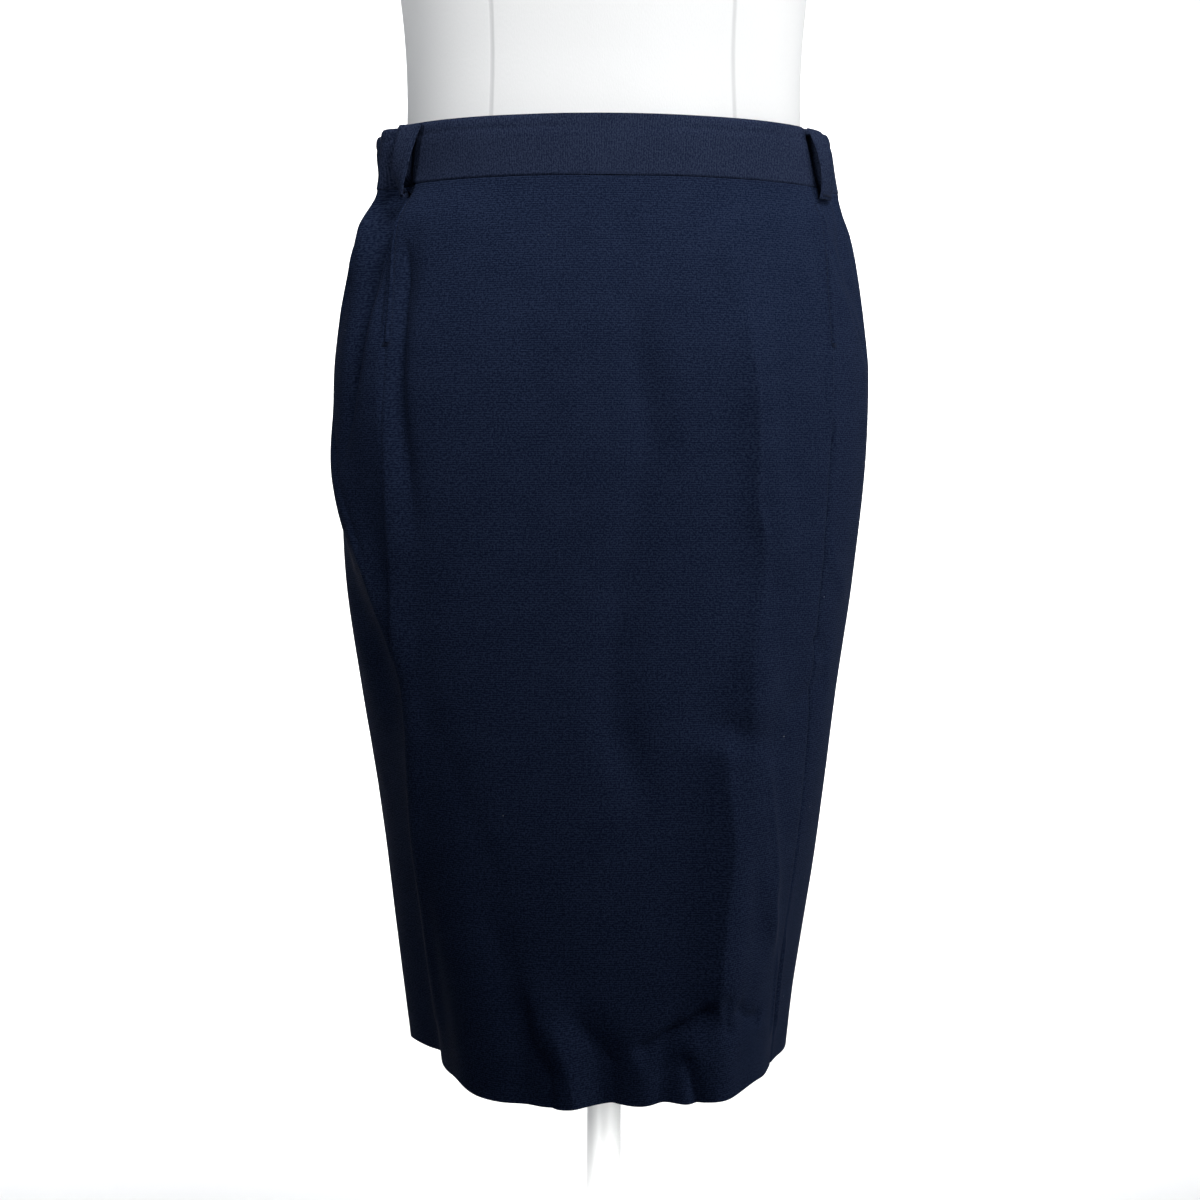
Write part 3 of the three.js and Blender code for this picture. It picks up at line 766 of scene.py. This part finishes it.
def relaxed(points):
    """Small uneven waves, longer than wide, as cloth has that was worn and hung up again."""
    flat = points.reshape(-1, 3) * (1, 1, WAVE_STRETCH) / WAVE_SIZE
    waves = [noise.noise(Vector(p)) + 0.3 * noise.noise(Vector(p) * 2.3) for p in flat]
    return np.array(waves).reshape(points.shape[:-1]) * WAVE_DEPTH


def cloth_shell(name, angle, height, out, thickness, slot_name, node):
    """A thin closed wall of cloth over a grid of angles and heights, top row first and angles rising."""
    calm = smooth((BAND_BOTTOM - height) / WAVE_FADE)
    waves = relaxed(skirt_points(angle, height, out)) * calm
    edge = np.minimum(angle - angle[:, :1], angle[:, -1:] - angle) * ARC
    out = out + waves - EDGE_TURN * bell(edge / EDGE_TURN_WIDTH)
    out = out + clear_of_form(skirt_points(angle, height, out - thickness))
    outside = skirt_points(angle, height, out)
    inside = skirt_points(angle, height, out - thickness)
    rows, columns = angle.shape
    points = np.concatenate([outside.reshape(-1, 3), inside.reshape(-1, 3)])
    index = np.arange(rows * columns).reshape(rows, columns)
    under = index + rows * columns

    def quads(a, b, c, d):
        return np.stack([a, b, c, d], -1).reshape(-1, 4)

    upper_left, upper_right = index[:-1, :-1], index[:-1, 1:]
    lower_left, lower_right = index[1:, :-1], index[1:, 1:]
    offset = rows * columns
    faces = [
        quads(upper_left, lower_left, lower_right, upper_right),
        quads(upper_left + offset, upper_right + offset, lower_right + offset, lower_left + offset),
        quads(index[0, :-1], index[0, 1:], under[0, 1:], under[0, :-1]),
        quads(index[-1, :-1], under[-1, :-1], under[-1, 1:], index[-1, 1:]),
        quads(index[:-1, 0], under[:-1, 0], under[1:, 0], index[1:, 0]),
        quads(index[:-1, -1], index[1:, -1], under[1:, -1], under[:-1, -1]),
    ]
    piece = new_piece(name, points, np.concatenate(faces).tolist(), slot_name, node)
    piece.data.set_sharp_from_angle(angle=math.radians(62))
    across = angle * ARC * MM
    up = height * MM
    with_uv(piece, np.concatenate([across.ravel()] * 2), np.concatenate([up.ravel()] * 2))
    return piece


RIB_PITCH = 0.0014
LINT_COLOUR = (0.3, 0.32, 0.38, 1)
LINT_SHARE = 0.35


def ribbed_cloth(name, dark, light, along_ribs, across_ribs):
    """Navy cloth whose ribs run along one direction of the map, 0 for across the body and 1 for up it."""
    made, wire, link = material(
        name,
        Roughness=0.88,
        Specular_IOR_Level=0.015,
        Sheen_Weight=0.008,
        Sheen_Roughness=0.4,
    )
    uv = wire.node("TexCoord", output=2)
    parts = [wire.node("SeparateXYZ", None, {0: uv}, i) for i in range(2)]
    along, over = parts[along_ribs], parts[across_ribs]

    def streaks(long_scale, short_scale, detail):
        stretched = wire.node("CombineXYZ", None, {0: along * long_scale, 1: over * short_scale, 2: 0.0})
        return wire.node("TexNoise", None, {"Vector": stretched, "Scale": 1.0, "Detail": detail})

    slub = streaks(400.0, 1000.0, 2.0)
    yarn = streaks(880.0, 820.0, 1.0)
    broad = streaks(30.0, 48.0, 3.0)
    rib = wire.maths("SINE", over * (2 * math.pi / RIB_PITCH) + slub * 3.0)
    tone = 0.36 * slub + 0.56 * yarn + 0.08 * broad + 0.05 * rib
    contrast = tone.between(0.39, 0.62)
    specks = wire.node("TexVoronoi", None, {"Vector": wire.node("TexCoord", output=3), "Scale": 62.0})
    lint = 1.0 - specks.between(0.018, 0.045)
    lint = lint * streaks(11.0, 13.0, 0.0).between(0.6, 0.72)
    cloth = contrast.blend(dark, light)
    link("Base Color", (lint * LINT_SHARE).blend(cloth, LINT_COLOUR))
    relief = slub * 0.6 + yarn * 0.4 + rib * 0.12
    link("Normal", wire.node("Bump", None, {"Height": relief, "Strength": 0.55, "Distance": 0.0005}))
    return made


navy = ribbed_cloth("navy_cloth", (0.005, 0.0092, 0.0246, 1), (0.0172, 0.0262, 0.0564, 1), 0, 1)

FRONT_GRID = (205, 200)


def seams(height):
    """The angles of the left and the right side seam at a height."""
    return follow(seam_table, "left", height), follow(seam_table, "right", height)


def hem_thickness(height):
    """The wall, which is doubled where the hem is turned up inside."""
    return CLOTH + (HEM_CLOTH - CLOTH) * smooth((HEM_TURNED_UP - height) / HEM_STEP)


rows, columns = FRONT_GRID
height = np.repeat(np.linspace(BAND_BOTTOM - SEAM_GAP, 0, rows)[:, None], columns, 1)
left, right = seams(height)
angle = left + (right - left) * np.linspace(0, 1, columns)
front_panel = cloth_shell(
    "front_panel_cloth", angle, height, 0.0, hem_thickness(height), "navy_cloth", "front_panel"
)
front_panel.data.materials.append(navy)

# The back panel
# One wide piece of the same cloth, sewn to the front at both sides and gathered into the elastic band. The
# gathers are fullest right under the band and fall into a few wide folds.
GATHERS = 21
GATHER_DEPTH = 5
GATHER_FADE = 44
DRAPE_DEPTH = 2.5
DRAPE_FADE = 150
QUIET_SIDE = 0.75
BACK_GRID = (150, 316)
END_FINENESS = 0.45  # the columns stand closer near the side seams


def gather_angle(gather, height):
    left, right = seams(height)
    ends = smooth(gather) * smooth(GATHERS - gather)
    uneven = (1.5 * np.sin(1.57 * gather) + 0.8 * np.sin(0.9 * gather)) * ends
    return left - gather / GATHERS * (360 - (right - left)) + uneven


def gather_push(gather, height):
    """How far the gathers push the cloth out: round rolls with narrow valleys between them."""
    below = np.clip(BAND_BOTTOM - height, 0, None)
    in_band = np.clip(height - BAND_BOTTOM, 0, None)
    ends = 1 - bell(gather / 0.3) - bell((GATHERS - gather) / 0.3)
    quiet = 1 - QUIET_SIDE * bell((GATHERS - gather) / 2.4)
    size = 1 + 0.22 * np.sin(2.1 * gather + 0.6) + 0.14 * np.sin(5.3 * gather)
    roll = 1 - 2 * np.abs(np.cos(np.pi * gather)) ** 2.6
    fine = roll * np.exp(-below / GATHER_FADE) * (1 - in_band / 160)
    long = np.sin(2 * np.pi * gather / 3 + 1) * np.exp(-below / DRAPE_FADE) * smooth(below / 40)
    dropped = smooth(gather / 2) * smooth((GATHERS - gather) / 2)
    return GATHER_DEPTH * size * quiet * ends * fine + DRAPE_DEPTH * dropped * long


def back_grid(heights, columns):
    """Gather numbers, angles and heights of the back, the right seam first so that angles rise."""
    along = np.linspace(1, 0, columns)
    along = along - END_FINENESS * np.sin(2 * math.pi * along) / (2 * math.pi)
    gather = np.repeat(GATHERS * along[None, :], len(heights), 0)
    height = np.repeat(np.asarray(heights)[:, None], columns, 1)
    return gather, gather_angle(gather, height), height


rows, columns = BACK_GRID
down = np.linspace(0, 1, rows) ** 1.25
gather, angle, height = back_grid((BAND_BOTTOM - SEAM_GAP) * (1 - down), columns)
back_panel = cloth_shell(
    "back_panel_cloth",
    angle,
    height,
    gather_push(gather, height),
    hem_thickness(height),
    "navy_cloth",
    "back_panel",
)
back_panel.data.materials.append(navy)

# The waistband
# A doubled strip of the cloth with its ribs upright. The front is stiffened and lies flat, and the back is
# pulled into rolls by the elastic inside. Both are sewn on with the seam turned up into the band.
BAND_PROUD = 0.8
BAND_CLOTH = 2.6
BAND_TUCK = 2.2
BAND_SOFT_EDGE = 8

# The band's cloth is the panels' navy cloth drawn in lighter colours, which is painted light: the band and
# the loops sit at the top of the skirt, where the light is brightest.
band_cloth = ribbed_cloth("band_cloth", (0.008, 0.0124, 0.0292, 1), (0.0228, 0.0315, 0.062, 1), 1, 0)


def band_roll(height):
    """The band's edges round over, and a soft crease runs along it below the top edge."""
    top = SKIRT_LENGTH - height
    bottom = height - BAND_BOTTOM
    rounding = -0.9 * bell(top / 1.2) - 0.6 * bell(bottom / 0.6)
    crease = -0.9 * np.exp(-np.abs(top - BAND_SOFT_EDGE) / 2.5) - 1.1 * smooth(1 - top / BAND_SOFT_EDGE)
    return rounding + crease


band_heights = np.concatenate(
    [
        np.linspace(SKIRT_LENGTH, SKIRT_LENGTH - 3, 7),
        np.linspace(SKIRT_LENGTH - 4, BAND_BOTTOM + 4, 24),
        np.linspace(BAND_BOTTOM + 3, BAND_BOTTOM, 7),
    ]
)
columns = 130
height = np.repeat(band_heights[:, None], columns, 1)
left, right = seams(height)
angle = left + (right - left) * np.linspace(0, 1, columns)
band_front = cloth_shell(
    "waistband_front_cloth",
    angle,
    height,
    BAND_PROUD + band_roll(height),
    BAND_CLOTH,
    "band_cloth",
    "waistband_front",
)
gather, angle, height = back_grid(band_heights, 420)
tuck = BAND_TUCK * (bell(gather / 0.45) + bell((GATHERS - gather) / 0.45))
band_back = cloth_shell(
    "waistband_back_cloth",
    angle,
    height,
    BAND_PROUD - tuck + band_roll(height) + gather_push(gather, height),
    BAND_CLOTH,
    "band_cloth",
    "waistband_back",
)
for piece in (band_front, band_back):
    piece.data.materials.append(band_cloth)

# The belt loops
# Two narrow straps, each folded in three and edge-stitched, from the band's top edge to just under its seam
# beside the side seams. They stand off the band between their ends, which are tucked under and bar-tacked.
LOOP_WIDTH = 14
LOOP_LENGTH = 50  # along the strap
LOOP_CLOTH = 1.6
LOOP_SEAT = 0.6
LOOP_TOP = SKIRT_LENGTH - 1
LOOP_FOOT = BAND_BOTTOM - 8
LOOP_SIDES = 20
LOOP_RINGS = 44
# Each loop's side, its angles at the top and the foot, how far it bows out, how low, and how far its rear
# edge leans
LOOPS = (
    ("left", -62.5, -67, 5.6, 1.4, 4.5),
    ("right", 66, 67.5, 5.2, 1.1, 3),
)


def stands_out(angle, height, side):
    """How far the bands stand outside the plain section, at the worst place under a loop."""
    left, right = seams(np.array([height]))
    fullest = BAND_PROUD
    for step in np.linspace(-3.5, 3.5, 15):
        past = left[0] - (angle + step) if side == "left" else angle + step - right[0]
        if past > 0 and height > BAND_BOTTOM - 12:
            gathered = past / (360 - (right[0] - left[0])) * GATHERS
            gather = np.array([gathered if side == "left" else GATHERS - gathered])
            push = gather_push(gather, np.array([height]))
            end_tuck = BAND_TUCK * (bell(gather / 0.45) + bell((GATHERS - gather) / 0.45))
            fullest = max(fullest, float(push[0] + BAND_PROUD - end_tuck[0]))
    return fullest


def belt_loop(side, top_angle, bottom_angle, bow, sag, lean):
    """A strap with rounded edges, drawn as rings round its cross-section from top to bottom."""
    edge = np.linspace(0, 2 * np.pi, LOOP_SIDES, endpoint=False)
    across = np.sign(np.cos(edge)) * np.abs(np.cos(edge)) ** 0.35
    through = np.sign(np.sin(edge)) * np.abs(np.sin(edge)) ** 0.8
    rings = []
    for t in np.linspace(0, 1, LOOP_RINGS):
        height = LOOP_TOP + (LOOP_FOOT - LOOP_TOP) * t
        middle_angle = top_angle + (bottom_angle - top_angle) * t
        half = LOOP_WIDTH / 2 / ARC * (1 - 0.05 * math.sin(math.pi * t))
        off = stands_out(middle_angle, height, side) + LOOP_SEAT + bow * math.sin(math.pi * t**sag) ** 0.8
        swell = 1 + 0.35 * float(bell((t - 0.03) / 0.05) + bell((t - 0.97) / 0.05))
        rear = -across if side == "left" else across
        leaning = lean * math.sin(math.pi * t**0.5) * (rear + 1) / 2
        outward = off + leaning + LOOP_CLOTH / 2 + through * LOOP_CLOTH / 2 * swell
        rings.append(skirt_points(middle_angle + across * half, np.full(LOOP_SIDES, height), outward))
    points = np.concatenate(rings)
    faces = []
    for first in range(0, (LOOP_RINGS - 1) * LOOP_SIDES, LOOP_SIDES):
        for i in range(LOOP_SIDES):
            beside = (i + 1) % LOOP_SIDES
            faces.append((first + i, first + beside, first + LOOP_SIDES + beside, first + LOOP_SIDES + i))
    last = (LOOP_RINGS - 1) * LOOP_SIDES
    faces += [tuple(range(LOOP_SIDES))[::-1], tuple(last + i for i in range(LOOP_SIDES))]
    piece = new_piece(f"belt_loop_{side}_cloth", points, faces, "band_cloth", f"belt_loop_{side}")
    piece.data.set_sharp_from_angle(angle=math.radians(60))
    lengthwise = np.repeat(np.linspace(LOOP_LENGTH * MM, 0, LOOP_RINGS), LOOP_SIDES)
    with_uv(piece, np.tile(across * LOOP_WIDTH / 2 * MM, LOOP_RINGS), lengthwise)
    piece.data.materials.append(band_cloth)


for loop_row in LOOPS:
    belt_loop(*loop_row)

# The side laps
# The top of each side seam is lapped and stitched down for a hand's length, which leaves a narrow raised
# edge on the front panel with a bar tack at its end.
LAP_WIDTH = 3
LAP_CLOTH = 1
LAP_RAISED = 0.2
LAP_EDGE = 0.35
LAP_TOP = BAND_BOTTOM - 9.5
LAP_END = BAND_BOTTOM - 104


def side_lap(side, rows=60, columns=7):
    height = np.repeat(np.linspace(LAP_TOP, LAP_END, rows)[:, None], columns, 1)
    left, right = seams(height)
    over = np.linspace(0.15, LAP_WIDTH, columns) / ARC
    angle = left + over if side == "left" else right - over[::-1]
    crown = LAP_CLOTH * 0.75 * (1 - np.abs(np.linspace(-1, 1, columns)) ** 4)
    piece = cloth_shell(
        f"side_lap_{side}_cloth",
        angle,
        height,
        SEAM_GAP + LAP_RAISED + crown,
        LAP_EDGE + crown,
        "navy_cloth",
        f"side_lap_{side}",
    )
    piece.data.materials.append(navy)


for lap_side in ("left", "right"):
    side_lap(lap_side)

# The stitching
# Navy thread a little brighter than the cloth: a row down each lap, and a bar tack at its end and at both
# ends of each belt loop. Each stitch is a short thread with both ends in the cloth.
THREAD = 0.22
STITCH = 2.3
STITCH_PITCH = 3.0

thread, wire, link = material("navy_thread", Roughness=0.7, Specular_IOR_Level=0.06)
twist = wire.node("TexNoise", None, {"Vector": wire.node("TexCoord", output=3), "Scale": 900.0})
link("Base Color", twist.blend((0.007, 0.011, 0.025, 1), (0.014, 0.02, 0.042, 1)))


def stitches(name, ends):
    """Short threads between pairs of points, each arched a little off the cloth."""
    sides, steps = 6, 5
    points, faces = [], []
    for start, end, outward in ends:
        start, end, outward = Vector(start), Vector(end), Vector(outward).normalized()
        forward = (end - start).normalized()
        sideways = forward.cross(outward)
        first = len(points)
        for step in range(steps):
            t = step / (steps - 1)
            arch = math.sin(math.pi * t)
            centre = start.lerp(end, t) + outward * (THREAD * 1.1 * arch - THREAD * 0.3)
            thick = THREAD * (0.45 + 0.55 * arch**0.5)
            for side in range(sides):
                turn = 2 * math.pi * side / sides
                points.append(centre + (sideways * math.cos(turn) + outward * math.sin(turn)) * thick)
        for step in range(steps - 1):
            for side in range(sides):
                a = first + step * sides + side
                b = first + step * sides + (side + 1) % sides
                faces.append((a, b, b + sides, a + sides))
    piece = new_piece(name, [tuple(p) for p in points], faces, "band_cloth")
    piece.data.materials.append(thread)


def on_cloth(angle, height, out):
    return skirt_points(np.array([angle], float), np.array([height], float), np.array([out], float))[0]


def outward_at(angle):
    return (math.sin(math.radians(angle)), -math.cos(math.radians(angle)), 0)


def bar_tack(angle, height, out, length, turns=7, tall=2.2):
    """A small block of threads laid side by side across a strap."""
    ends = []
    for turn in range(turns):
        level = height + tall * (turn / (turns - 1) - 0.5)
        half = length / 2 / ARC
        start = on_cloth(angle - half, level, out)
        end = on_cloth(angle + half, level, out)
        ends.append((start, end, outward_at(angle)))
    return ends


rows_of_stitches = []
for side, sign in (("left", 1), ("right", -1)):
    level = LAP_TOP - 2
    while level - STITCH > LAP_END:
        pair = []
        for end in (level, level - STITCH):
            edge = seams(np.array([end]))[0 if side == "left" else 1][0]
            pair.append(on_cloth(edge + sign * (LAP_WIDTH + 0.9) / ARC, end, 0.1))
        rows_of_stitches.append((*pair, outward_at(edge)))
        level -= STITCH_PITCH
    edge = seams(np.array([LAP_END]))[0 if side == "left" else 1][0]
    rows_of_stitches += bar_tack(edge + sign * LAP_WIDTH / 2 / ARC, LAP_END - 1, 0.5, LAP_WIDTH + 2, 5)
stitches("lap_stitching", rows_of_stitches)

tacks = []
for side, top_angle, bottom_angle, bow, sag, lean in LOOPS:
    for t in (0.045, 0.93):
        level = LOOP_TOP + (LOOP_FOOT - LOOP_TOP) * t
        centre = top_angle + (bottom_angle - top_angle) * t
        off = stands_out(centre, level, side) + LOOP_SEAT + bow * math.sin(math.pi * t**sag) ** 0.8
        tacks += bar_tack(centre, level, off + LOOP_CLOTH * 1.1, LOOP_WIDTH - 3)
stitches("loop_tacks", tacks)
